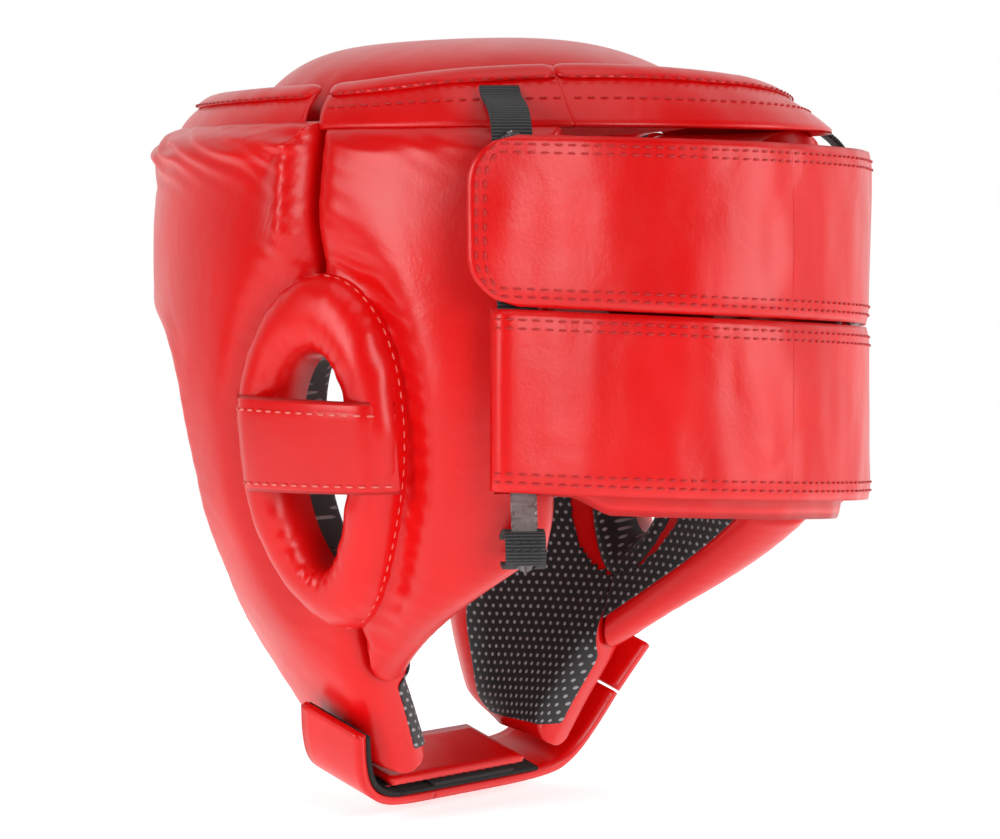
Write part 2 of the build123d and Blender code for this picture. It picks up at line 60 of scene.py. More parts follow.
# ---------------------------------------------------------------- shell shape, in millimetres
# Height, half width, half length and centre's Y of the shell's outer face.
FORM = [
    (-122, 45, 55, 2),
    (-100, 58, 71, 8),
    (-75, 75, 91, 14),
    (-50, 89, 103, 13),
    (-20, 98, 114, 8),
    (20, 102, 120, 5),
    (60, 101, 121, 4),
    (100, 96, 117, 4),
]
PAD = 26.0
EAR_CENTRE = (9.0, -6.5)
EAR_RADII = (32.0, 55.5)
EAR_HOLE = (8.0, -9.0)
EAR_HOLE_RADII = (13.5, 33.0)
EAR_STRAP_LEVELS = (-18.0, 9.0)
EAR_LEAN = 5.0
CLOSURE_Y = -12.0
CLOSURE = 129.7
OUTER_PASS = CLOSURE + 0.5
INNER_PASS = CLOSURE - 6.2
STRAP = 3.0
STRAP_HEIGHT = 53.0
FOLD_ANGLE = 44.389
BAR_ANGLE = 45.8
BAR_DEPTH = CLOSURE - 1.75
PIECE_SEAM = 88.0
SEWN_END = 50.5
UPPER_TAB_JOINT = 78
UPPER_TAB_END = 39.3
LOWER_TAB_JOINT = 104
LOWER_TAB_END = 134.0
SEAM_X = (OUTER_PASS + STRAP / 2) * cos(radians(PIECE_SEAM))
# Each back strap's lower edge, its drop over 45 degrees, its upper edge and that edge's drop.
UPPER_EDGES = (34.8, -5.0, 87.65, -1.65)
LOWER_EDGES = (-21.0, -6.2, 33.25, -5.05)
CHIN_TILT = radians(20)
CHIN_ORIGIN = Vector((0, -17, -110))
CHIN_WIDTH = 26
CHIN_THICKNESS = 2.6
CHIN_LEVEL = -6.7
CHIN_SHORT_LEVEL = -1.3
CHIN_TAPE_WIDTH = 26.4
CHIN_STITCH_INSET = 2.4
CHIN_SMOOTHING = 3
EDGE_SAMPLES = 400


# ---------------------------------------------------------------- curves and form
def slope(keys, k, c):
    """Slope of channel c at key k, held to zero at peaks so that the curve never overshoots."""
    def step(i):
        return (keys[i + 1][c] - keys[i][c]) / (keys[i + 1][0] - keys[i][0])

    if k == 0:
        return step(0)
    if k == len(keys) - 1:
        return step(k - 1)
    before, after = step(k - 1), step(k)
    if before * after <= 0:
        return 0.0
    return 2 * before * after / (before + after)


def glide(keys, t):
    """Values at t on a smooth curve through keys, each key being (t, value, value ...)."""
    t = min(max(t, keys[0][0]), keys[-1][0])
    k = 0
    while k < len(keys) - 2 and keys[k + 1][0] < t:
        k += 1
    width = keys[k + 1][0] - keys[k][0]
    s = (t - keys[k][0]) / width
    values = []
    for c in range(1, len(keys[0])):
        p, q = keys[k][c], keys[k + 1][c]
        a, b = slope(keys, k, c) * width, slope(keys, k + 1, c) * width
        values.append(
            (2 * s**3 - 3 * s**2 + 1) * p + (s**3 - 2 * s**2 + s) * a
            + (3 * s**2 - 2 * s**3) * q + (s**3 - s**2) * b
        )
    return values


def form(angle, height, out=0.0):
    """A point of the shell, at an angle from the left ear towards the back, in degrees."""
    half_width, half_length, centre_y = glide(FORM, height)
    a = radians(angle)
    return Vector(((half_width + out) * cos(a), centre_y + (half_length + out) * sin(a), height))


def angle_at(y, height):
    """The form's angle where the outer face has this Y, on the left side."""
    _, half_length, centre_y = glide(FORM, height)
    return degrees(asin(min(max((y - centre_y) / half_length, -1), 1)))


def oval(y, z, centre, radii, lean=EAR_LEAN):
    """How far out a side point is from an ear oval's centre, 1 being on the oval."""
    c, s = cos(radians(lean)), sin(radians(lean))
    dy, dz = y - centre[0], z - centre[1]
    return hypot((dy * c - dz * s) / radii[0], (dy * s + dz * c) / radii[1])


def on_closure(radius, angle, height):
    """A point of the back closure's cylinder, its angle counted from the wearer's left."""
    a = radians(angle)
    return Vector((radius * cos(a), CLOSURE_Y + radius * sin(a), height))


def chin_point(across, up, along=0.0):
    """A point in the chin strap's tilted plane; along runs to the front edge."""
    c, s = cos(CHIN_TILT), sin(CHIN_TILT)
    return CHIN_ORIGIN + Vector((across, up * s - along * c, up * c + along * s))


def ripple(point, size, seed=0.0):
    """Smooth unevenness between -1 and 1 over about this many millimetres."""
    return noise.noise(point / size + Vector((seed, seed * 1.7, -seed)))


# ---------------------------------------------------------------- mesh helpers
def finish_mesh(bm, name, materials, smooth=True, recalc=True):
    """Turns a millimetre bmesh into an object in metres, its faces outwards."""
    if recalc:
        bmesh.ops.recalc_face_normals(bm, faces=bm.faces)
    bmesh.ops.scale(bm, vec=(MM, MM, MM), verts=bm.verts)
    mesh = bpy.data.meshes.new(name)
    bm.to_mesh(mesh)
    bm.free()
    if smooth:
        mesh.polygons.foreach_set("use_smooth", [True] * len(mesh.polygons))
    piece = bpy.data.objects.new(name, mesh)
    bpy.context.scene.collection.objects.link(piece)
    for material in materials:
        mesh.materials.append(bpy.data.materials[f"{material}_look"])
    return piece


def grid(bm, columns, rows, place, uv=None):
    """A sheet of quads whose corner (u, v) of the unit square goes to place(u, v)."""
    made = bmesh.ops.create_grid(bm, x_segments=columns, y_segments=rows, size=0.5)["verts"]
    where = {vert: (vert.co.x + 0.5, vert.co.y + 0.5) for vert in made}
    layer = bm.loops.layers.uv.verify()
    faces = {face for vert in made for face in vert.link_faces}
    for face in faces:
        for loop in face.loops:
            u, v = where[loop.vert]
            loop[layer].uv = uv(u, v) if uv else (u, v)
    for vert, (u, v) in where.items():
        vert.co = place(u, v)
    return where, faces


def mirror_mesh(bm):
    """The same mesh for the other side of the head."""
    bmesh.ops.scale(bm, vec=(-1, 1, 1), verts=bm.verts)
    bmesh.ops.reverse_faces(bm, faces=bm.faces)


def smooth_modifier(piece, levels=1):
    """A finishing subdivision, the same in view and render."""
    modifier = piece.modifiers.new("soften", "SUBSURF")
    modifier.levels = levels
    modifier.render_levels = levels


def stitches(bm, path, outwards, length=2.6, pitch=3.9, thickness=0.42, index=1):
    """Thread stitches laid along a path of points, raised along outwards(point)."""
    travelled = [0.0]
    for a, b in zip(path, path[1:]):
        travelled.append(travelled[-1] + (b - a).length)
    count = max(int(travelled[-1] / pitch), 1)
    k = 0
    for n in range(count):
        mid = (n + 0.5) * travelled[-1] / count
        while k < len(path) - 2 and travelled[k + 1] < mid:
            k += 1
        span = max(travelled[k + 1] - travelled[k], 1e-6)
        spot = path[k].lerp(path[k + 1], (mid - travelled[k]) / span)
        along = (path[k + 1] - path[k]).normalized()
        up = outwards(spot)
        up = (up - along * up.dot(along)).normalized()
        side = along.cross(up)
        turn = Matrix((side, up, along)).transposed().to_4x4()
        size = Matrix.Diagonal((thickness, thickness * 0.8, length / 2, 1))
        made = bmesh.ops.create_uvsphere(
            bm, u_segments=6, v_segments=4, radius=1, matrix=Matrix.Translation(spot + up * 0.1) @ turn @ size
        )["verts"]
        for face in {f for vert in made for f in vert.link_faces}:
            face.material_index = index
            face.smooth = True


def away(spot):
    """Outwards from the head's upright axis."""
    return Vector((spot.x, spot.y - 4, 0)).normalized()


# ---------------------------------------------------------------- materials
def new_material(name):
    """An empty node material and its shader."""
    material = bpy.data.materials.new(f"{name}_look")
    material.use_nodes = True
    shader = material.node_tree.nodes["Principled BSDF"]
    return material, material.node_tree, shader


def node(tree, kind, inputs=None, **settings):
    """Adds a node, sets its properties and its sockets; a socket value may be another node's output."""
    made = tree.nodes.new(kind)
    for key, value in settings.items():
        setattr(made, key, value)
    for key, value in (inputs or {}).items():
        if isinstance(value, bpy.types.NodeSocket):
            tree.links.new(value, made.inputs[key])
        else:
            made.inputs[key].default_value = value
    return made


def leather_material(name, colour, deep, roughness, grain):
    """Grained glossy leather: pebbles, finer pores, soft creases and slight colour variation."""
    material, tree, shader = new_material(name)
    where = node(tree, "ShaderNodeTexCoord").outputs["Object"]
    pebbles = node(tree, "ShaderNodeTexVoronoi", {"Vector": where, "Scale": grain, "Randomness": 1.0},
                   feature="SMOOTH_F1")
    pores = node(tree, "ShaderNodeTexNoise", {"Vector": where, "Scale": grain * 2.2, "Detail": 4.0})
    creases = node(tree, "ShaderNodeTexNoise",
                   {"Vector": where, "Scale": 45.0, "Detail": 3.0, "Roughness": 0.45, "Distortion": 0.7})
    cloud = node(tree, "ShaderNodeTexNoise", {"Vector": where, "Scale": 22.0, "Detail": 3.0})
    tint = node(tree, "ShaderNodeValToRGB", {"Fac": cloud.outputs["Fac"]})
    tint.color_ramp.elements[0].position = 0.3
    tint.color_ramp.elements[0].color = (*deep, 1)
    tint.color_ramp.elements[1].position = 0.7
    tint.color_ramp.elements[1].color = (*colour, 1)
    tree.links.new(tint.outputs["Color"], shader.inputs["Base Color"])
    gloss = node(tree, "ShaderNodeMapRange",
                 {"Value": creases.outputs["Fac"], "To Min": roughness - 0.05, "To Max": roughness + 0.09})
    tree.links.new(gloss.outputs["Result"], shader.inputs["Roughness"])
    fine = node(tree, "ShaderNodeBump", {"Height": pores.outputs["Fac"], "Strength": 0.02, "Distance": 0.0003})
    grained = node(tree, "ShaderNodeBump", {
        "Height": pebbles.outputs["Distance"], "Strength": 0.07, "Distance": 0.0004,
        "Normal": fine.outputs["Normal"]})
    creased = node(tree, "ShaderNodeBump", {
        "Height": creases.outputs["Fac"], "Strength": 0.2, "Distance": 0.0022,
        "Normal": grained.outputs["Normal"]})
    tree.links.new(creased.outputs["Normal"], shader.inputs["Normal"])
    shader.inputs["Specular IOR Level"].default_value = 0.42
    shader.inputs["Coat Weight"].default_value = 0.0
    return material


def lining_material():
    """Black lining textile with rows of small raised pale dots, on the piece's own UV map."""
    material, tree, shader = new_material("lining_textile")
    uv = node(tree, "ShaderNodeUVMap").outputs["UV"]
    split = node(tree, "ShaderNodeSeparateXYZ", {"Vector": uv})

    def calc(operation, a, b=0.0):
        return node(tree, "ShaderNodeMath", {0: a, 1: b}, operation=operation).outputs[0]

    across = calc("DIVIDE", split.outputs["X"], 3.0)
    up = calc("DIVIDE", split.outputs["Y"], 2.6)
    row = calc("FLOOR", up)
    shift = calc("MULTIPLY", calc("MODULO", row, 2.0), 0.5)
    dx = calc("MULTIPLY", calc("SUBTRACT", calc("FRACT", calc("ADD", across, shift)), 0.5), 3.0)
    dy = calc("MULTIPLY", calc("SUBTRACT", calc("FRACT", up), 0.5), 2.6)
    reach = calc("SQRT", calc("ADD", calc("MULTIPLY", dx, dx), calc("MULTIPLY", dy, dy)))
    dot = node(tree, "ShaderNodeMapRange", {
        "Value": reach, "From Min": 0.45, "From Max": 0.7, "To Min": 1.0, "To Max": 0.0}).outputs["Result"]
    weave = node(tree, "ShaderNodeTexNoise", {"Vector": uv, "Scale": 2.2, "Detail": 3.0})
    tint = node(tree, "ShaderNodeValToRGB", {"Fac": dot})
    tint.color_ramp.elements[0].color = (0.006, 0.006, 0.007, 1)
    tint.color_ramp.elements[1].color = (0.30, 0.30, 0.31, 1)
    tree.links.new(tint.outputs["Color"], shader.inputs["Base Color"])
    raised = node(tree, "ShaderNodeBump", {"Height": dot, "Strength": 0.6, "Distance": 0.0004})
    woven = node(tree, "ShaderNodeBump", {
        "Height": weave.outputs["Fac"], "Strength": 0.3, "Distance": 0.0002,
        "Normal": raised.outputs["Normal"]})
    tree.links.new(woven.outputs["Normal"], shader.inputs["Normal"])
    shader.inputs["Roughness"].default_value = 0.62
    shader.inputs["Sheen Weight"].default_value = 0.15
    return material


def woven_material(name, colour, light, ribs, roughness=0.75):
    """Woven tape: ribs across its length and fine threads, on the piece's own UV map; the raised rib crests
    take the lighter colour as a painted highlight.
    """
    material, tree, shader = new_material(name)
    uv = node(tree, "ShaderNodeUVMap").outputs["UV"]
    rib = node(tree, "ShaderNodeTexWave", {"Vector": uv, "Scale": ribs, "Distortion": 0.4, "Detail": 1.0},
               bands_direction="Y")
    thread = node(tree, "ShaderNodeTexNoise", {"Vector": uv, "Scale": 3.0, "Detail": 4.0})
    # Painted highlight: the colour runs from the base colour in the rib hollows to the lighter second colour
    # on the raised rib crests, following the same wave as the bump.
    tint = node(tree, "ShaderNodeMix", {"Factor": rib.outputs["Fac"], 6: (*colour, 1), 7: (*light, 1)},
                data_type="RGBA")
    tree.links.new(tint.outputs[2], shader.inputs["Base Color"])
    ribbed = node(tree, "ShaderNodeBump", {"Height": rib.outputs["Fac"], "Strength": 0.8, "Distance": 0.0005})
    threads = node(tree, "ShaderNodeBump", {
        "Height": thread.outputs["Fac"], "Strength": 0.4, "Distance": 0.0002,
        "Normal": ribbed.outputs["Normal"]})
    tree.links.new(threads.outputs["Normal"], shader.inputs["Normal"])
    shader.inputs["Roughness"].default_value = roughness
    return material


def plain_material(name, colour, roughness, scale=300.0, strength=0.1, transmission=0.0):
    """A simple finish with a little texture, such as thread, foam or moulded plastic."""
    material, tree, shader = new_material(name)
    where = node(tree, "ShaderNodeTexCoord").outputs["Object"]
    rough = node(tree, "ShaderNodeTexNoise", {"Vector": where, "Scale": scale, "Detail": 3.0})
    shade = node(tree, "ShaderNodeValToRGB", {"Fac": rough.outputs["Fac"]})
    shade.color_ramp.elements[0].color = (*[c * 0.8 for c in colour], 1)
    shade.color_ramp.elements[1].color = (*colour, 1)
    tree.links.new(shade.outputs["Color"], shader.inputs["Base Color"])
    bump = node(tree, "ShaderNodeBump",
                {"Height": rough.outputs["Fac"], "Strength": strength, "Distance": 0.0003})
    tree.links.new(bump.outputs["Normal"], shader.inputs["Normal"])
    shader.inputs["Roughness"].default_value = roughness
    shader.inputs["Transmission Weight"].default_value = transmission
    return material


# ---------------------------------------------------------------- padded panels
def half_panel_edges():
    """Face edge and outer edge of the forehead and cheek panel's left half, as (t, angle, height)."""
    face = [
        (0.0, -90, 32), (0.14, -70, 32), (0.27, -52, 30), (0.36, -41, 24), (0.46, -36, 8), (0.57, -36, -16),
        (0.70, -42, -45), (0.82, -51, -72), (0.92, -47, -94), (1.0, -33, -106),
    ]
    outer = [
        (0.0, -90, 95), (0.14, -64, 95), (0.27, -28, 95), (0.36, 1, 95), (0.46, 1, 66), (0.57, 0, 22),
        (0.70, -3, -22), (0.82, -6, -62), (0.92, -7, -92), (1.0, -8, -112),
    ]
    return face, outer


def front_place(t, v):
    """Angle and height on the forehead and cheek panel; t runs from cheek tip to cheek tip."""
    face, outer = half_panel_edges()
    reach = abs(2 * t - 1)
    near, far = glide(face, reach), glide(outer, reach)
    angle, height = near[0] + (far[0] - near[0]) * v, near[1] + (far[1] - near[1]) * v
    return (angle if t < 0.5 else -180 - angle), height


def side_place(u, v):
    """Angle and height on the left side panel; u runs from the temple seam to the back."""
    seam = glide([(0.0, -5.8, -80), (0.1, -5.4, -66), (0.4, -2, -20), (0.72, 1.2, 40), (1.0, 1.8, 94)], v)
    back = glide([(0.0, 39, -42), (0.1, 41, -36), (0.5, 42.5, 20), (1.0, 43, 94)], v)
    low = -80 + 45 * u
    height = low + (94 - low) * v
    edge = seam[0] + (back[0] - seam[0]) * u
    return edge, height


def pad_piece(name, place, spans, puff, left=True):
    """A closed leather pad over the form, and its lining, each with the ear's opening left out."""
    def lies(u, v, out):
        angle, height = place(u, v)
        return form(angle, height, out)

    columns, rows = spans
    edge = kdtree.KDTree(4 * EDGE_SAMPLES)
    free_edge = kdtree.KDTree(4 * EDGE_SAMPLES)
    for k in range(EDGE_SAMPLES):
        s = k / (EDGE_SAMPLES - 1)
        for n, (u, v) in enumerate(((s, 0), (s, 1), (0, s), (1, s))):
            edge.insert(lies(u, v, 0), 4 * k + n)
            if puff["free"](u, v):
                free_edge.insert(lies(u, v, 0), 4 * k + n)
    edge.balance()
    free_edge.balance()

    def ear_reach(point):
        return oval(point.y, point.z, EAR_CENTRE, EAR_RADII)

    def outside(u, v):
        flat = lies(u, v, 0)
        gap = edge.find(flat)[2]
        rounding = puff["rounding"]
        share = max(1 - gap / rounding, 0)
        out = -rounding * (1 - sqrt(max(1 - share * share, 0)))
        near_ear = max((ear_reach(flat) - 1) * 38, -6)
        out -= 5.5 * exp(-((near_ear / 8.0) ** 2))
        along = flat.z + 0.35 * flat.y
        gather = puff["gather"](u, v)
        out += gather * exp(-((gap - 6) / 10.0) ** 2) * sin(along * 0.95 + 3.2 * ripple(flat, 18.0, 2.0))
        ear_gather = 0.55 * exp(-((near_ear - 3) / 5.0) ** 2) * sin(0.9 * along + 4 * ripple(flat, 14.0, 5.0))
        out += ear_gather + 0.7 * ripple(flat, 45.0, 1.0)
        if flat.z > 45 and puff["gather"](u, v) > 0.5:
            out += 2.6 * exp(-((gap - 8) / 6.0) ** 2) * min((flat.z - 45) / 12, 1)
        return form(place(u, v)[0], place(u, v)[1], out)

    def inside(u, v):
        flat = lies(u, v, 0)
        gap = free_edge.find(flat)[2]
        depth = PAD - puff["rounding"] - 3
        share = max(1 - gap / depth, 0)
        return lies(u, v, -PAD + depth * (1 - sqrt(max(1 - share * share, 0))))

    bm = bmesh.new()
    faces_out = grid(bm, columns, rows, outside)[1]
    faces_in = grid(bm, columns, rows, inside)[1]
    # The openings are cut on flat positions so that both faces lose the same quads.
    for faces in (faces_out, faces_in):
        doomed = []
        for face in faces:
            layer = bm.loops.layers.uv.active
            u = sum(loop[layer].uv.x for loop in face.loops) / 4
            v = sum(loop[layer].uv.y for loop in face.loops) / 4
            if ear_reach(lies(u, v, 0)) < 0.8:
                doomed.append(face)
        if doomed:
            bmesh.ops.delete(bm, geom=doomed, context="FACES")
    loose = [vert for vert in bm.verts if not vert.link_faces]
    bmesh.ops.delete(bm, geom=loose, context="VERTS")
    bmesh.ops.bridge_loops(bm, edges=[e for e in bm.edges if e.is_boundary])
    if not left:
        mirror_mesh(bm)
    cover = finish_mesh(bm, f"{name}_leather", ["red_leather", "thread"])
    smooth_modifier(cover)

    bm = bmesh.new()

    def trimmed(u, v):
        near, far, low, high = puff["trims"]
        u2 = near + (1 - near - far) * u
        return u2, low + (1 - low - high(u2)) * v

    def lining_at(u, v):
        u2, v2 = trimmed(u, v)
        angle, height = place(u2, v2)
        return inside(u2, v2) + (form(angle, height, -1.0) - form(angle, height)) * 0.9

    def lining_uv(u, v):
        angle, height = place(*trimmed(u, v))
        return angle * 1.3, height

    faces = grid(bm, columns, rows, lining_at, lining_uv)[1]
    doomed = [f for f in faces if ear_reach(f.calc_center_median()) < 0.86]
    if doomed:
        bmesh.ops.delete(bm, geom=doomed, context="FACES")
    bmesh.ops.delete(bm, geom=[vert for vert in bm.verts if not vert.link_faces], context="VERTS")
    bmesh.ops.solidify(bm, geom=bm.faces, thickness=0.8)
    if not left:
        mirror_mesh(bm)
    lining = finish_mesh(bm, f"{name}_lining_textile", ["lining_textile"])
    smooth_modifier(lining)
    return cover, lining


# ---------------------------------------------------------------- ear rolls
def ear_roll(side):
    """A leaning padded oval ring, gathered at its seams, black inside the head space."""
    word = "left" if side > 0 else "right"
    bm = bmesh.new()
    bmesh.ops.create_circle(bm, segments=28, radius=1.0, matrix=Matrix.Translation((2.0, 0, 0)))
    bmesh.ops.rotate(bm, verts=bm.verts, cent=(2, 0, 0), matrix=Matrix.Rotation(pi / 2, 3, "X"))
    bmesh.ops.spin(
        bm, geom=bm.verts[:] + bm.edges[:], cent=(0, 0, 0), axis=(0, 0, 1), angle=2 * pi, steps=120,
        use_merge=True,
    )
    bmesh.ops.remove_doubles(bm, verts=bm.verts, dist=0.001)
    lean = radians(EAR_LEAN)
    for vert in bm.verts:
        around = atan2(vert.co.y, vert.co.x)
        radial = hypot(vert.co.x, vert.co.y) - 2
        height = vert.co.z
        wide = 1 + 0.10 * sin(around)
        hole = (EAR_HOLE_RADII[0] * cos(around) * wide, EAR_HOLE_RADII[1] * sin(around))
        rim = (EAR_RADII[0] * cos(around) * wide, EAR_RADII[1] * sin(around))
        share = (radial + 1) / 2
        y0 = EAR_HOLE[0] + hole[0] + (EAR_CENTRE[0] - EAR_HOLE[0] + rim[0] - hole[0]) * share
        z0 = EAR_HOLE[1] + hole[1] + (EAR_CENTRE[1] - EAR_HOLE[1] + rim[1] - hole[1]) * share
        dy, dz = y0 - EAR_CENTRE[0], z0 - EAR_CENTRE[1]
        y = EAR_CENTRE[0] + dy * cos(lean) + dz * sin(lean)
        z = EAR_CENTRE[1] + dz * cos(lean) - dy * sin(lean)
        flat = Vector((0, y, z))
        crease = sin(26 * around + 5 * ripple(Vector((cos(around), sin(around), 0)) * 9, 4.0, 3.0))
        pull = exp(-((share - 0.97) / 0.16) ** 2) + 0.8 * exp(-((share - 0.1) / 0.2) ** 2)
        out = -8.0 + 12.5 * max(height, 0) ** 0.75 if height > 0 else -8.0 + 19.5 * height
        if height > 0.1:
            out += 0.55 * pull * crease + 0.6 * ripple(flat, 16.0, 9.0)
        vert.co = form(angle_at(y, z), z, out)
    layer = bm.loops.layers.uv.verify()
    for face in bm.faces:
        centre = face.calc_center_median()
        shell = form(angle_at(centre.y, centre.z), centre.z, -12.0)
        if centre.x < shell.x:
            face.material_index = 1
        for loop in face.loops:
            loop[layer].uv = (loop.vert.co.y, loop.vert.co.z)
    path = []
    for k in range(181):
        around = 2 * pi * k / 180
        wide = 1 + 0.10 * sin(around)
        dy, dz = EAR_RADII[0] * 0.985 * cos(around) * wide, EAR_RADII[1] * 0.985 * sin(around)
        y = EAR_CENTRE[0] + dy * cos(lean) + dz * sin(lean)
        z = EAR_CENTRE[1] + dz * cos(lean) - dy * sin(lean)
        path.append(form(angle_at(y, z), z, -3.2))
    stitches(bm, path, lambda spot: Vector((1, 0, 0)), index=2)
    if side < 0:
        mirror_mesh(bm)
    piece = finish_mesh(bm, f"{word}_ear_roll", ["red_leather", "lining_textile", "pale_thread"])
    smooth_modifier(piece)
    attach(piece, "shell")
    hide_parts(f"{word}_ear_roll_cover", f"{word}_ear_roll_foam", f"{word}_ear_roll_lining")


def ear_strap(side):
    """The flat leather strap across an ear hole, pulled down onto the roll at its ends."""
    word = "left" if side > 0 else "right"
    low, high = EAR_STRAP_LEVELS
    front, back = EAR_CENTRE[0] - EAR_RADII[0] + 1, EAR_CENTRE[0] + EAR_RADII[0] - 1

    def place(u, v):
        y = front + (back - front) * u
        z = low + (high - low) * v + 1.2 * (u - 0.5) * (0.5 - v) * 2
        bulge = 5.2 + 1.2 * sin(pi * u) - 5.0 * exp(-((min(u, 1 - u) * 62) / 5.0) ** 2)
        sink = 0.5 * exp(-((min(v, 1 - v) * 27) / 1.5) ** 2)
        return form(angle_at(y, z), z, bulge - sink)

    bm = bmesh.new()
    grid(bm, 44, 16, place)
    bmesh.ops.solidify(bm, geom=bm.faces, thickness=-1.8)
    for v in (0.09, 0.91):
        path = [place(u / 60, v) + Vector((0.25, 0, 0)) for u in range(1, 60)]
        stitches(bm, path, lambda spot: Vector((1, 0, 0)))
    if side < 0:
        mirror_mesh(bm)
    piece = finish_mesh(bm, f"{word}_ear_strap_leather", ["red_leather", "pale_thread"])
    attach(piece, "shell")
    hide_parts(f"{word}_ear_strap")


# ---------------------------------------------------------------- crown
# Around the crown by angle: rim height and how far the rim leans in from the pads' top edge.
CROWN_RIM = [
    (-180, 103, 12), (-135, 104, 13), (-90, 105, 14), (-45, 105, 13), (0, 106, 12), (30, 110, 12),
    (50, 111, 12), (90, 109, 14), (135, 104, 13), (180, 103, 12),
]
CROWN_BASE_LEVEL = 93.5
BINDING = 7.5


def crown_face(angle, share, out=0.0):
    """A point of the crown flaps, from the pads' top edge (0) to the rim (1)."""
    rim, lean = glide(CROWN_RIM, angle)
    a = radians(angle)
    bow = 1.6 * sin(pi * share)
    half_width = 92.0 - lean * share + bow + out
    half_length = 113.0 - (lean + 3) * share + bow + out
    height = CROWN_BASE_LEVEL + (rim - CROWN_BASE_LEVEL) * share
    wave = 0.7 * ripple(Vector((cos(a), sin(a), 0)) * 60, 9.0, 4.0) * sin(pi * share)
    return Vector(((half_width + wave) * cos(a), 4.0 - 4 * share + (half_length + wave) * sin(a), height))


def crown_flap(word, start, end, nodes):
    """One leather crown flap with its stitched binding."""
    span = end - start
    columns = max(int(abs(span) * 1.1), 12)

    def angle(u):
        return start + span * u

    bm = bmesh.new()
    grid(bm, columns, 12, lambda u, v: crown_face(angle(u), v))
    bmesh.ops.solidify(bm, geom=bm.faces, thickness=1.4)
    if word in ("left", "rear"):
        path = [crown_face(angle(u / 120), 0.45, 0.2) for u in range(2, 119)]
        stitches(bm, path, away)
    flap = finish_mesh(bm, f"{word}_crown_flap_leather", ["red_leather", "thread"])
    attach(flap, "shell")
    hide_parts(nodes[0])

    def binding_at(u, v):
        turn = pi * (2 * v - 1)
        a = angle(u)
        end = min(u, 1 - u) * abs(span) * 1.9 / 5.0
        rounded = sqrt(max(1 - max(1 - end, 0) ** 2, 0.04))
        unevenness = ripple(Vector((cos(radians(a)), sin(radians(a)), 0)) * 80, 6.0, 8.0)
        plump = 2.6 * rounded * (1 + 0.12 * unevenness)
        top = crown_face(a, 1.0)
        down = (crown_face(a, 0.5) - top).normalized()
        out = away(top)
        depth = -cos(turn)
        side = sin(turn)
        flat = abs(side) ** 0.7 * (1 if side > 0 else -1)
        return top + down * (BINDING / 2) * (1 + depth * rounded) * 0.98 - down * 1.5 + out * plump * flat

    bm = bmesh.new()
    grid(bm, columns, 18, binding_at)
    bmesh.ops.remove_doubles(bm, verts=bm.verts, dist=0.02)
    ends = [e for e in bm.edges if e.is_boundary]
    bmesh.ops.holes_fill(bm, edges=ends, sides=0)
    path = []
    for u in range(1, 160):
        a = angle(u / 160)
        top = crown_face(a, 1.0)
        down = (crown_face(a, 0.5) - top).normalized()
        path.append(top + down * (BINDING * 0.62) + away(top) * 2.5)
    stitches(bm, path, away)
    binding = finish_mesh(bm, f"{word}_crown_binding_leather", ["red_leather", "thread"])
    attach(binding, "shell")
    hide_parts(nodes[1])


def crown_pad():
    """The domed cushion inside the flaps, gathered round its lower edge."""
    bm = bmesh.new()
    bmesh.ops.create_uvsphere(bm, u_segments=96, v_segments=40, radius=1.0)
    for vert in bm.verts:
        x, y, z = vert.co
        around = atan2(y, x)
        flat = hypot(x, y)
        spread = min(flat ** 0.72, 1.0)
        rim = exp(-((z - 0.05) / 0.35) ** 2)
        pleat = 0.9 * rim * sin(34 * around + 4 * ripple(Vector((cos(around), sin(around), 0)) * 8, 3.0, 6.0))
        half = 66.0 + pleat
        height = 96.5 + (27.0 * z ** 1.0 if z > 0 else 4.5 * z)
        sag = 1.0 * ripple(Vector((x, y, z)) * 50, 30.0, 7.0)
        vert.co = Vector((half * spread * x / max(flat, 1e-6), -5 + half * 1.16 * spread * y / max(flat, 1e-6),
                          height + (sag if z > 0 else 0)))
    piece = finish_mesh(bm, "crown_cushion", ["red_leather"])
    smooth_modifier(piece)
    return piece


# ---------------------------------------------------------------- back closure
def strap_height(edges, angle, v):
    """Height on a back strap, v running from its lower edge to its upper edge."""
    share = (angle - 90) / 45
    low, high = edges[0] + edges[1] * share, edges[2] + edges[3] * share
    return low + (high - low) * v


def strap_point(depth, angle, v, edges):
    """A point on a back strap: depth from the closure's centre, with the strap's soft waves."""
    height = strap_height(edges, angle, v)
    wave = 0.9 * ripple(Vector((angle * 0.9, v * 6, depth * 0.01)), 13.0, 1.5 + edges[0])
    wave += 0.5 * ripple(Vector((angle * 2.0, v * 18, edges[0])), 9.0, 3.5)
    rim = 0.8 * exp(-((min(v, 1 - v) * STRAP_HEIGHT) / 2.2) ** 2)
    return on_closure(depth + wave - rim, angle, height)


def end_trim(v, radius):
    """How much shorter a strap's free end is at height v, for a rounded end."""
    gap = min(v, 1 - v) * STRAP_HEIGHT
    if gap >= radius:
        return 0.0
    return radius - sqrt(max(radius * radius - (radius - gap) ** 2, 0))


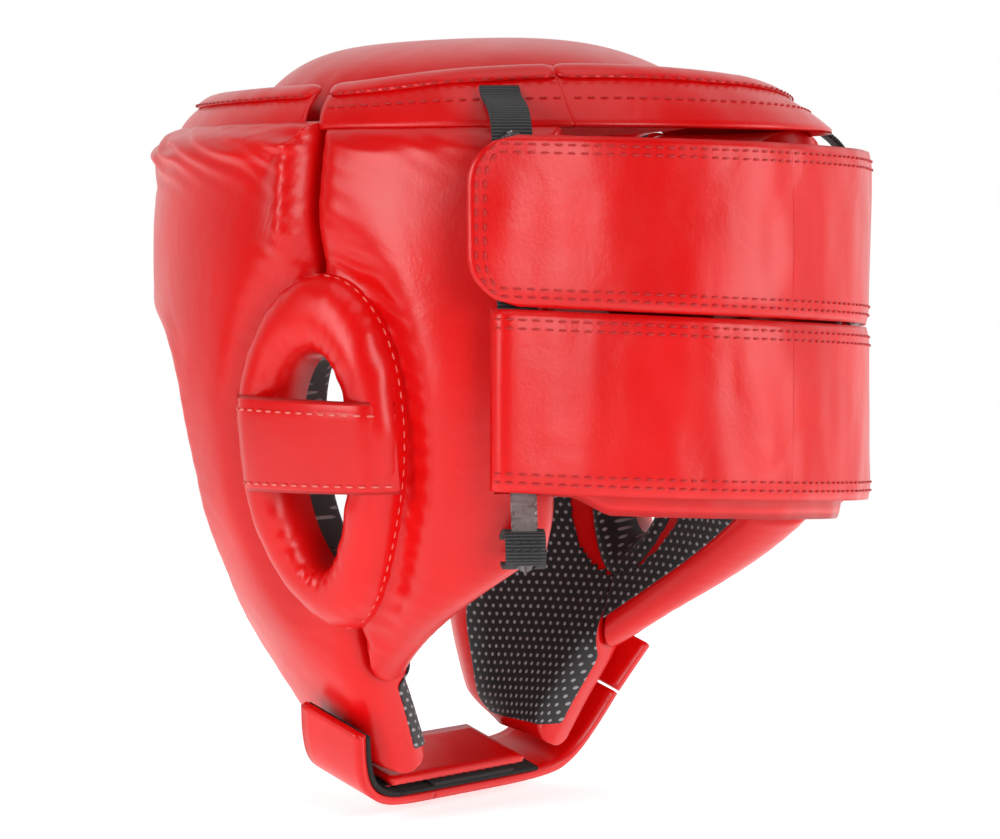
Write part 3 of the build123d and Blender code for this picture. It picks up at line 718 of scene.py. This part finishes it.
def back_strap(name, body_from, start, end, edges, radius=0.0, nodes=(), fold=False,
               bend=None, stitched_end=False):
    """A stretch of a back strap's outer pass, with its double rows of stitching."""
    sign = 1 if end > start else -1
    per_mm = degrees(1 / OUTER_PASS)
    length = abs(end - start) / per_mm
    mid = OUTER_PASS + STRAP / 2
    slot_radius = (OUTER_PASS - INNER_PASS - STRAP) / 2 + STRAP / 2
    lead = pi / 2 * slot_radius if fold else 0.0
    total = length + lead

    def centre(u, v):
        """Middle surface: along the fold first, then along the closure."""
        travel = total * u
        if travel < lead:
            turn = travel / slot_radius
            base = strap_point(mid - slot_radius, start, v, edges)
            tangent = Vector((sin(radians(start)), -cos(radians(start)), 0)) * sign
            radial = Vector((cos(radians(start)), sin(radians(start)), 0))
            return base + tangent * slot_radius * cos(turn) + radial * slot_radius * sin(turn)
        run = travel - lead
        if radius:
            run *= 1 - end_trim(v, radius) / length
        return strap_point(mid, start + sign * run * per_mm, v, edges)

    columns = max(int(total / 2.2), 8)
    bm = bmesh.new()
    grid(bm, columns, 26, centre, lambda u, v: (u * total, v * STRAP_HEIGHT))
    bmesh.ops.recalc_face_normals(bm, faces=bm.faces)
    for vert in bm.verts:
        vert.normal_update()
    lift = {vert: vert.normal.copy() for vert in bm.verts}
    facing = sum(lift[v].dot(away(v.co)) for v in bm.verts)
    if facing < 0:
        bmesh.ops.reverse_faces(bm, faces=bm.faces)
        lift = {vert: -normal for vert, normal in lift.items()}
    for vert, normal in lift.items():
        vert.co += normal * STRAP / 2
    bmesh.ops.solidify(bm, geom=bm.faces, thickness=STRAP - 0.4)
    for face in bm.faces:
        if abs(face.normal.x) > 0.9 and abs(face.calc_center_median().x - SEAM_X) < 1.0:
            for edge in face.edges:
                edge.smooth = False
    inset = 2.6
    for row in (inset, inset + 2.6):
        for edge_v in (row / STRAP_HEIGHT, 1 - row / STRAP_HEIGHT):
            path = []
            for k in range(121):
                u = k / 120
                reach = u * (1 - (row if stitched_end else 0) / total)
                path.append(centre(reach, edge_v))
            path = [p + away(p) * (STRAP / 2 + 0.15) for p in path]
            stitches(bm, path, away)
        if stitched_end:
            path = []
            for k in range(61):
                v = row / STRAP_HEIGHT + (1 - 2 * row / STRAP_HEIGHT) * k / 60
                path.append(centre(1 - row / total, v))
            path = [p + away(p) * (STRAP / 2 + 0.15) for p in path]
            stitches(bm, path, away)
    piece = finish_mesh(bm, name, ["red_leather", "thread"], recalc=False)
    if bend:
        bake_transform(piece)
    else:
        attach(piece, body_from)
    if nodes:
        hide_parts(*nodes)
    return piece


def inner_pass(name, start, end, edges, node_name, dip=0.0):
    """The sewn inner half of a back strap, up to the far side of its fold."""
    sign = 1 if end > start else -1
    per_mm = degrees(1 / INNER_PASS)
    length = abs(end - start) / per_mm
    mid = INNER_PASS + STRAP / 2
    slot_radius = (OUTER_PASS - INNER_PASS - STRAP) / 2 + STRAP / 2
    lead = pi / 2 * slot_radius
    total = length + lead

    def centre(u, v):
        travel = total * u
        if travel <= length:
            spot = strap_point(mid, start + sign * travel * per_mm, v, edges)
            angle = start + sign * travel * per_mm
            spot.z -= dip * (1 - v) * min(max((angle - 54) / 5, 0), max((119 - angle) / 5, 0), 1)
            return spot
        turn = (travel - length) / slot_radius
        base = strap_point(mid + slot_radius, end, v, edges)
        tangent = Vector((-sin(radians(end)), cos(radians(end)), 0)) * sign
        radial = Vector((cos(radians(end)), sin(radians(end)), 0))
        return base + tangent * slot_radius * sin(turn) - radial * slot_radius * cos(turn)

    bm = bmesh.new()
    grid(bm, max(int(total / 2.5), 8), 16, centre)
    bmesh.ops.solidify(bm, geom=bm.faces, thickness=STRAP * 0.45)
    piece = finish_mesh(bm, name, ["red_leather", "thread"])
    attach(piece, "shell")
    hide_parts(node_name)


def tape_patch(name, body, radii, angles, edges, material, node_name):
    """A hook or loop patch that follows the strap it is sewn on."""
    def place(u, v):
        angle = angles[0] + (angles[1] - angles[0]) * u
        return on_closure(radii[1], angle, strap_height(edges, angle, 0.06 + 0.88 * v))

    bm = bmesh.new()
    grid(bm, 30, 12, place, lambda u, v: (u * 50, v * 47))
    bmesh.ops.solidify(bm, geom=bm.faces, thickness=(radii[1] - radii[0]) * 0.9)
    piece = finish_mesh(bm, name, [material])
    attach(piece, body)
    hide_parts(node_name)


def cut_corners(path, times):
    """The same path with its corners rounded off this many times."""
    for _ in range(times):
        finer = [path[0]]
        for a, b in zip(path, path[1:]):
            finer += [a.lerp(b, 0.25), a.lerp(b, 0.75)]
        path = finer + [path[-1]]
    return path


def ribbon(bm, points, width, thickness, across, per=2.0, soft=2):
    """A flat tape along points, its width along the across vector, closed all round."""
    path = cut_corners(points, soft)
    lengths = [0.0]
    for a, b in zip(path, path[1:]):
        lengths.append(lengths[-1] + (b - a).length)

    def place(u, v):
        want = u * lengths[-1]
        k = 0
        while k < len(path) - 2 and lengths[k + 1] < want:
            k += 1
        s = (want - lengths[k]) / max(lengths[k + 1] - lengths[k], 1e-6)
        return path[k].lerp(path[k + 1], s) + across * (v - 0.5) * width

    grid(bm, max(int(lengths[-1] / per), 6), 8, place, lambda u, v: (v * width, u * lengths[-1]))
    bmesh.ops.recalc_face_normals(bm, faces=bm.faces)
    bmesh.ops.solidify(bm, geom=bm.faces, thickness=thickness)


def bar_point(radius, angle, height):
    """A point over a bar; the left bar leans a little, its lower end towards the back."""
    a = radians(angle)
    shift = 2.5 - 0.031 * (height + 30.0) if angle < 90 else 0.0
    return on_closure(radius, angle, height) + Vector((-sin(a), cos(a), 0)) * shift


def keeper(name, angle, profile, node_name, rows=()):
    """Ribbed webbing along a (radius, height) profile over a bar."""
    a = radians(angle)
    points = [bar_point(r, angle, z) for r, z in profile]
    across = Vector((-sin(a), cos(a), 0))
    bm = bmesh.new()
    ribbon(bm, points, 12.0, 1.3, across, per=1.2)
    for r, z in rows:
        path = [bar_point(r, angle, z) + across * s for s in (-5, 0, 5)]
        stitches(bm, path, away, pitch=2.4, length=1.8, index=1)
    piece = finish_mesh(bm, name, ["webbing", "dark_thread"])
    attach(piece, "shell")
    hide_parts(node_name)


def strap_bar(side, angle, low, high):
    """A clear moulded bar with rounded ends that a back strap turns round."""
    a = radians(angle)
    across = Vector((-sin(a), cos(a), 0))
    bm = bmesh.new()

    def place(u, v):
        gap = min(u, 1 - u) * (high - low)
        width = 7.8
        if gap < 3.9:
            width *= sqrt(max(1 - (1 - gap / 3.9) ** 2, 0.02))
        return bar_point(BAR_DEPTH + 1.0, angle, low + (high - low) * u) + across * (v - 0.5) * width

    grid(bm, 90, 8, place)
    bmesh.ops.solidify(bm, geom=bm.faces, thickness=2.0)
    piece = finish_mesh(bm, f"{side}_clear_bar", ["clear_plastic"])
    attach(piece, "shell")
    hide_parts(f"{side}_strap_bar")


# ---------------------------------------------------------------- chin straps
def chin_strap(name, points, thickness, bodies, bend, nodes):
    """A leather chin strap along (across, up) points in its tilted plane, stitched round its edge."""
    bm = bmesh.new()
    path = cut_corners([chin_point(x, y) for x, y in points], CHIN_SMOOTHING)
    across = (chin_point(0, 0, 1) - chin_point(0, 0)).normalized()
    ribbon(bm, path, CHIN_WIDTH, thickness, across, per=1.6, soft=0)
    centre = chin_point(0, 60)
    for side in (-1, 1):
        row = [p + across * side * (CHIN_WIDTH / 2 - CHIN_STITCH_INSET) for p in path]
        lifted = []
        for p in row:
            out = (p - centre)
            out = (out - across * out.dot(across)).normalized()
            lifted.append(p + out * (thickness / 2 + 0.55))
        stitches(bm, lifted, lambda spot: (spot - centre).normalized())
    piece = finish_mesh(bm, name, ["red_leather", "thread"])
    if bend:
        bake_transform(piece)
    else:
        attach(piece, bodies[0])
    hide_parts(*nodes)
    return piece


# ---------------------------------------------------------------- user settings
class HeadgearColours(bpy.types.PropertyGroup):
    """Colours and finish that a user would change."""

    leather: bpy.props.FloatVectorProperty(
        name="Leather", description="Main leather colour", subtype="COLOR", default=(0.74, 0.0015, 0.002),
        min=0, max=1,
    )
    leather_deep: bpy.props.FloatVectorProperty(
        name="Leather, deep", description="Leather colour in its darker patches", subtype="COLOR",
        default=(0.62, 0.001, 0.0015), min=0, max=1,
    )
    leather_roughness: bpy.props.FloatProperty(
        name="Leather roughness", description="Lower is glossier", default=0.30, min=0.05, max=1,
        subtype="FACTOR",
    )
    thread: bpy.props.FloatVectorProperty(
        name="Thread", description="Colour of the stitching", subtype="COLOR", default=(0.50, 0.004, 0.006),
        min=0, max=1,
    )


class HeadgearStage(bpy.types.PropertyGroup):
    """Camera and stage sizes."""

    azimuth: bpy.props.FloatProperty(
        name="Azimuth", description="Camera angle round the headgear", default=radians(128), subtype="ANGLE",
    )
    elevation: bpy.props.FloatProperty(
        name="Elevation", description="Camera angle above the horizon", default=radians(3), subtype="ANGLE",
    )
    distance: bpy.props.FloatProperty(
        name="Distance", description="Camera distance", default=1.2, unit="LENGTH", subtype="DISTANCE",
    )
    lens: bpy.props.FloatProperty(name="Lens", description="Focal length", default=132.6, unit="CAMERA")


# ---------------------------------------------------------------- operators
class MaterialsOperator(bpy.types.Operator):
    """Make the leather, lining, webbing, tape, plastic and thread materials"""

    bl_idname = "headgear.materials"
    bl_label = "Materials"

    def execute(self, context):
        look = context.scene.headgear_colours
        leather_material("red_leather", look.leather, look.leather_deep, look.leather_roughness, 1100.0)
        lining_material()
        # The second colour of each tape is the painted highlight on its rib crests.
        woven_material("webbing", (0.004, 0.004, 0.005), (0.06, 0.06, 0.062), 0.29)
        woven_material("hook_tape", (0.01, 0.01, 0.011), (0.03, 0.03, 0.03), 1.6)
        woven_material("loop_tape", (0.012, 0.012, 0.012), (0.03, 0.03, 0.03), 2.2, 0.95)
        plain_material("thread", look.thread, 0.5)
        plain_material("pale_thread", (0.86, 0.16, 0.13), 0.5)
        plain_material("dark_thread", (0.01, 0.01, 0.011), 0.6)
        plain_material("clear_plastic", (0.30, 0.26, 0.26), 0.22, 90.0, 0.05, 0.2)
        return {"FINISHED"}


class PanelsOperator(bpy.types.Operator):
    """Make the forehead and cheek panel and the two side panels with their linings"""

    bl_idname = "headgear.panels"
    bl_label = "Padded panels"

    def execute(self, context):
        def temple_gather(t, v):
            return 1.6 if v > 0.6 and 0.18 < t < 0.82 else 0.1

        def seam_gather(u, v):
            return 0.25 if u < 0.3 else 0.12

        def front_is_free(t, v):
            return v < 1 or not 0.36 < abs(2 * t - 1) < 0.88

        def front_top_trim(t):
            return 0.03 if abs(2 * t - 1) < 0.36 else 0.0

        def side_is_free(u, v):
            return u > 0

        puff = {"rounding": 9.0, "gather": temple_gather, "free": front_is_free,
                "trims": (0.016, 0.016, 0.05, front_top_trim)}
        front = pad_piece("front", front_place, (260, 54), puff)
        for piece, nodes in zip(front, (("front_cover", "front_foam"), ("front_lining",))):
            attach(piece, "shell")
            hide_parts(*nodes)
        for side in ("left", "right"):
            made = pad_piece(
                f"{side}_side", side_place, (64, 110),
                {"rounding": 10.0, "gather": seam_gather, "free": side_is_free,
                 "trims": (0.0, 0.03, 0.06, lambda u: 0.03)},
                left=side == "left",
            )
            names = ((f"{side}_side_cover", f"{side}_side_foam"), (f"{side}_side_lining",))
            for piece, nodes in zip(made, names):
                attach(piece, "shell")
                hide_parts(*nodes)
        return {"FINISHED"}


class EarsOperator(bpy.types.Operator):
    """Make the ear rolls and the straps across them"""

    bl_idname = "headgear.ears"
    bl_label = "Ear rolls and straps"

    def execute(self, context):
        for side in (1, -1):
            ear_roll(side)
            ear_strap(side)
        return {"FINISHED"}


class CrownOperator(bpy.types.Operator):
    """Make the crown flaps, their bindings and the crown cushion"""

    bl_idname = "headgear.crown"
    bl_label = "Crown"

    def execute(self, context):
        for word, start, end in (("front", -178, -2), ("left", 1, 45), ("rear", 44, 137), ("right", 136, 179)):
            crown_flap(word, start, end, (f"{word}_crown_flap", f"{word}_crown_binding"))
        pad = crown_pad()
        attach(pad, "crown_pad")
        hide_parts("crown_pad_cover", "crown_pad_foam", "crown_pad_lining")
        tongues = (
            ("crown_pad_hinge_tongue", "shell", (-99.0, -78.0), 56.0, 97.8),
            ("crown_pad_landing_tongue", "shell", (76.0, 108.0), 50.0, 95.8),
            ("crown_pad_rear_tab", "crown_pad", (67.0, 88.0), 50.0, 97.8),
        )
        for name, body, (near, far), width, level in tongues:
            bm = bmesh.new()
            points = [Vector((0, near, level)), Vector((0, (near + far) / 2, level)), Vector((0, far, level))]
            ribbon(bm, points, width, 1.5, Vector((1, 0, 0)), per=2.0)
            piece = finish_mesh(bm, f"{name}_leather", ["red_leather"])
            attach(piece, body)
            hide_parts(name)
        return {"FINISHED"}


class ClosureOperator(bpy.types.Operator):
    """Make the two back straps, their tapes and the webbing that holds the bars"""

    bl_idname = "headgear.closure"
    bl_label = "Back closure"

    def execute(self, context):
        right_fold = 180 - FOLD_ANGLE

        def pivot(angle, radius=OUTER_PASS):
            return on_closure(radius, angle, 0)

        def tangent(angle, sign):
            return Vector((-sin(radians(angle)), cos(radians(angle)), 0)) * sign

        inner_pass("upper_inner_pass", SEWN_END, right_fold, UPPER_EDGES, "upper_strap_inner_pass")
        inner_pass("lower_inner_pass", 180 - SEWN_END, FOLD_ANGLE, LOWER_EDGES, "lower_strap_inner_pass",
                   dip=5.0)

        start = pivot(right_fold) + tangent(right_fold, 1) * 3.0
        back_strap("upper_back_strap", "shell", right_fold, PIECE_SEAM, UPPER_EDGES,
                   nodes=("upper_strap_band",), fold=True, bend=(start, start + tangent(right_fold, -1) * 12))
        joint = pivot(UPPER_TAB_JOINT)
        back_strap("upper_back_tab", "upper_strap", PIECE_SEAM - 0.05, UPPER_TAB_END, UPPER_EDGES,
                   radius=15.0, nodes=("upper_strap_tab",), stitched_end=True,
                   bend=(joint + tangent(UPPER_TAB_JOINT, 1) * 4, joint - tangent(UPPER_TAB_JOINT, 1) * 8))
        start = pivot(FOLD_ANGLE) - tangent(FOLD_ANGLE, 1) * 3.0
        back_strap("lower_back_strap", "shell", FOLD_ANGLE, PIECE_SEAM, LOWER_EDGES,
                   nodes=("lower_strap_band",), fold=True, bend=(start, start + tangent(FOLD_ANGLE, 1) * 12))
        joint = pivot(LOWER_TAB_JOINT)
        back_strap("lower_back_tab", "lower_strap", PIECE_SEAM + 0.05, LOWER_TAB_END, LOWER_EDGES,
                   nodes=("lower_strap_tab",), stitched_end=True,
                   bend=(joint - tangent(LOWER_TAB_JOINT, 1) * 4, joint + tangent(LOWER_TAB_JOINT, 1) * 8))

        loop_radii = (INNER_PASS + STRAP + 0.3, INNER_PASS + STRAP + 1.6)
        hook_radii = (CLOSURE - 1.2, CLOSURE + 0.3)
        patches = (("upper", UPPER_EDGES, (53.5, 75.0)), ("lower", LOWER_EDGES, (107.0, 126.5)))
        for word, edges, angles in patches:
            tape_patch(f"{word}_loop_tape", "shell", loop_radii, angles, edges, "loop_tape",
                       f"{word}_strap_loop_patch")
            tape_patch(f"{word}_hook_tape", f"{word}_tab", hook_radii, angles, edges, "hook_tape",
                       f"{word}_strap_hook_patch")

        # Each keeper's webbing as (radius, height) points, and its rows of stitches.
        keepers = (
            ("left_upper", BAR_ANGLE,
             [(103.2, 105.0), (106.0, 102.6), (111.0, 101.0), (117.0, 99.6), (123.0, 97.2), (127.3, 93.2),
              (129.0, 87.0), (129.0, 36.0)], ()),
            ("right_upper", 180 - BAR_ANGLE,
             [(103.2, 105.0), (106.5, 101.5), (112.0, 98.5), (119.0, 95.5), (125.5, 90.5), (128.6, 85.0),
              (128.8, 72.0)], ()),
            ("left_lower", BAR_ANGLE,
             [(117.0, -38.0), (122.0, -38.6), (127.5, -38.2), (130.5, -35.8), (130.9, -31.5), (130.2, -27.2),
              (127.0, -26.0), (121.0, -27.0), (117.0, -29.0)],
             ((131.6, -29.6), (131.9, -32.2), (131.7, -34.8))),
            ("right_lower", 180 - BAR_ANGLE,
             [(115.0, -24.0), (121.0, -23.0), (127.0, -20.5), (129.0, -15.0), (128.8, -8.0), (122.0, -6.0),
              (115.0, -8.0)], ()),
        )
        for place, angle, profile, rows in keepers:
            keeper(f"{place}_webbing", angle, profile, f"{place}_keeper", rows=rows)
        strap_bar("left", BAR_ANGLE, -37.0, 91.0)
        strap_bar("right", 180 - BAR_ANGLE, -19.0, 84.0)
        return {"FINISHED"}


class ChinOperator(bpy.types.Operator):
    """Make the long and the short chin strap and their tapes"""

    bl_idname = "headgear.chin"
    bl_label = "Chin straps"

    def execute(self, context):
        level, short_level = CHIN_LEVEL, CHIN_SHORT_LEVEL
        hinge = chin_point(-66, 20)
        run = (chin_point(-51, level) - hinge).normalized()
        joint = chin_point(44, level)
        step = Vector((1, 0, 0))
        chin_strap("chin_strap_anchor_leather", [(-77, 37), (-72, 29.5), (-66.6, 21)], CHIN_THICKNESS,
                   ("shell",), None, ("chin_strap_anchor",))
        chin_strap("long_chin_strap", [(-66, 20), (-60, 8.5), (-53, -1.5), (-42, level), (20, level)],
                   CHIN_THICKNESS, ("shell", "chin_strap"), (hinge - run * 1, hinge + run * 9),
                   ("chin_strap_long",))
        chin_strap("chin_strap_free_end",
                   [(19.8, level), (34, level), (46, -5.4), (55, -0.6), (61, 8.5), (65.5, 19)],
                   CHIN_THICKNESS, ("chin_strap", "chin_tip"), (joint - step * 6, joint + step * 4),
                   ("chin_strap_tip",))
        chin_strap("short_chin_strap", [(44, short_level), (10, short_level), (-24, short_level)], 1.9,
                   ("shell", "chin_short"), (chin_point(31, short_level), chin_point(23, short_level)),
                   ("chin_strap_short", "chin_strap_short_root"))
        across = (chin_point(0, 0, 1) - chin_point(0, 0)).normalized()
        bm = bmesh.new()
        turn = ((38, -4.3), (46, -3.2), (53.5, 1.0), (59, 9.0), (63.3, 18.5))
        ribbon(bm, [chin_point(x, y) for x, y in turn], CHIN_TAPE_WIDTH, 1.6, across, per=1.6)
        piece = finish_mesh(bm, "chin_tip_tape", ["loop_tape"])
        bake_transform(piece)
        tapes = (
            ("chin_loop_tape", "chin_strap", (-34, 38), -4.45, "loop_tape", "chin_strap_loop_patch"),
            ("chin_hook_tape", "chin_short", (-20, 22), -3.05, "hook_tape", "chin_strap_hook_patch"),
        )
        for name, body, (near, far), up, material, node_name in tapes:
            bm = bmesh.new()
            points = [chin_point(near + (far - near) * k / 4, up) for k in range(5)]
            ribbon(bm, points, CHIN_TAPE_WIDTH, 1.25, across, soft=0)
            piece = finish_mesh(bm, name, [material])
            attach(piece, body)
            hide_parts(node_name)
        return {"FINISHED"}


class StageOperator(bpy.types.Operator):
    """Make the floor, the lights and the camera"""

    bl_idname = "headgear.stage"
    bl_label = "Stage"

    def execute(self, context):
        stage = context.scene.headgear_stage
        scene = context.scene
        shader = new_material("stage_white")[2]
        shader.inputs["Base Color"].default_value = (0.92, 0.92, 0.92, 1)
        shader.inputs["Emission Color"].default_value = (1, 1, 1, 1)
        shader.inputs["Emission Strength"].default_value = 0.6
        shader.inputs["Roughness"].default_value = 0.9
        bm = bmesh.new()
        bmesh.ops.create_grid(bm, x_segments=2, y_segments=2, size=700)
        bmesh.ops.translate(bm, verts=bm.verts, vec=(0, 0, -126))
        floor = finish_mesh(bm, "floor", ["stage_white"], smooth=False, recalc=False)

        world = bpy.data.worlds.new("studio")
        scene.world = world
        world.use_nodes = True
        scene.view_settings.view_transform = "Standard"
        a = stage.azimuth
        tree = world.node_tree
        heading = node(tree, "ShaderNodeTexCoord").outputs["Generated"]
        behind = node(tree, "ShaderNodeVectorMath", {0: heading, 1: (-sin(a), cos(a), 0)},
                      operation="DOT_PRODUCT")
        level = node(tree, "ShaderNodeMapRange", {
            "Value": behind.outputs["Value"], "From Min": 0.0, "From Max": 0.7, "To Min": 0.03, "To Max": 1.0})
        background = tree.nodes["Background"]
        background.inputs["Color"].default_value = (1, 1, 1, 1)
        tree.links.new(level.outputs["Result"], background.inputs["Strength"])

        back = Vector((sin(a), -cos(a), 0))
        right = Vector((cos(a), sin(a), 0))
        up = Vector((0, 0, 1))
        lights = (
            ("ear_softbox", back * 0.80 - right * 1.02 + up * 0.34, 8.0, 0.42, 0.8),
            ("strap_softbox", back * 1.18 + right * 0.52 + up * 0.32, 7.0, 0.4, 0.8),
            ("rear_softbox", back * 0.14 + right * 1.28 + up * 0.25, 6.0, 0.5, 0.8),
            ("top_softbox", up * 1.3 + back * 0.3, 4.0, 1.0, 1.0),
        )
        for name, spot, power, width, height in lights:
            data = bpy.data.lights.new(name, "AREA")
            data.shape = "RECTANGLE"
            data.size = width
            data.size_y = height
            data.energy = power
            light = bpy.data.objects.new(name, data)
            light.location = spot
            light.rotation_euler = (-spot).to_track_quat("-Z", "Y").to_euler()
            scene.collection.objects.link(light)

        data = bpy.data.cameras.new("camera")
        data.lens = stage.lens
        data.sensor_width = 36.0
        camera = bpy.data.objects.new("camera", data)
        target = Vector((0, 0.004, 0))
        e = stage.elevation
        offset = (back * cos(e) + up * sin(e)) * stage.distance
        camera.location = target + offset
        camera.rotation_euler = (-offset).to_track_quat("-Z", "Y").to_euler()
        scene.collection.objects.link(camera)
        scene.camera = camera
        return {"FINISHED"}


class HEADGEAR_PT_sidebar(bpy.types.Panel):
    """Lists the headgear's pieces and settings"""

    bl_label = "Boxing headgear"
    bl_space_type = "VIEW_3D"
    bl_region_type = "UI"
    bl_category = "Headgear"

    def draw(self, context):
        for name in ("leather", "leather_deep", "leather_roughness", "thread"):
            self.layout.prop(context.scene.headgear_colours, name)
        for name in ("azimuth", "elevation", "distance", "lens"):
            self.layout.prop(context.scene.headgear_stage, name)
        for operator in OPERATORS:
            self.layout.operator(operator.bl_idname)


OPERATORS = (
    MaterialsOperator, PanelsOperator, EarsOperator, CrownOperator, ClosureOperator, ChinOperator,
    StageOperator,
)
CLASSES = (HeadgearColours, HeadgearStage) + OPERATORS + (HEADGEAR_PT_sidebar,)


def register():
    for item in CLASSES:
        bpy.utils.register_class(item)
    bpy.types.Scene.headgear_colours = bpy.props.PointerProperty(type=HeadgearColours)
    bpy.types.Scene.headgear_stage = bpy.props.PointerProperty(type=HeadgearStage)


def unregister():
    del bpy.types.Scene.headgear_stage
    del bpy.types.Scene.headgear_colours
    for item in reversed(CLASSES):
        bpy.utils.unregister_class(item)


def main():
    register()
    bpy.ops.headgear.materials()
    bpy.ops.headgear.panels()
    bpy.ops.headgear.ears()
    bpy.ops.headgear.crown()
    bpy.ops.headgear.closure()
    bpy.ops.headgear.chin()
    bpy.ops.headgear.stage()


if __name__ == "__main__":
    main()
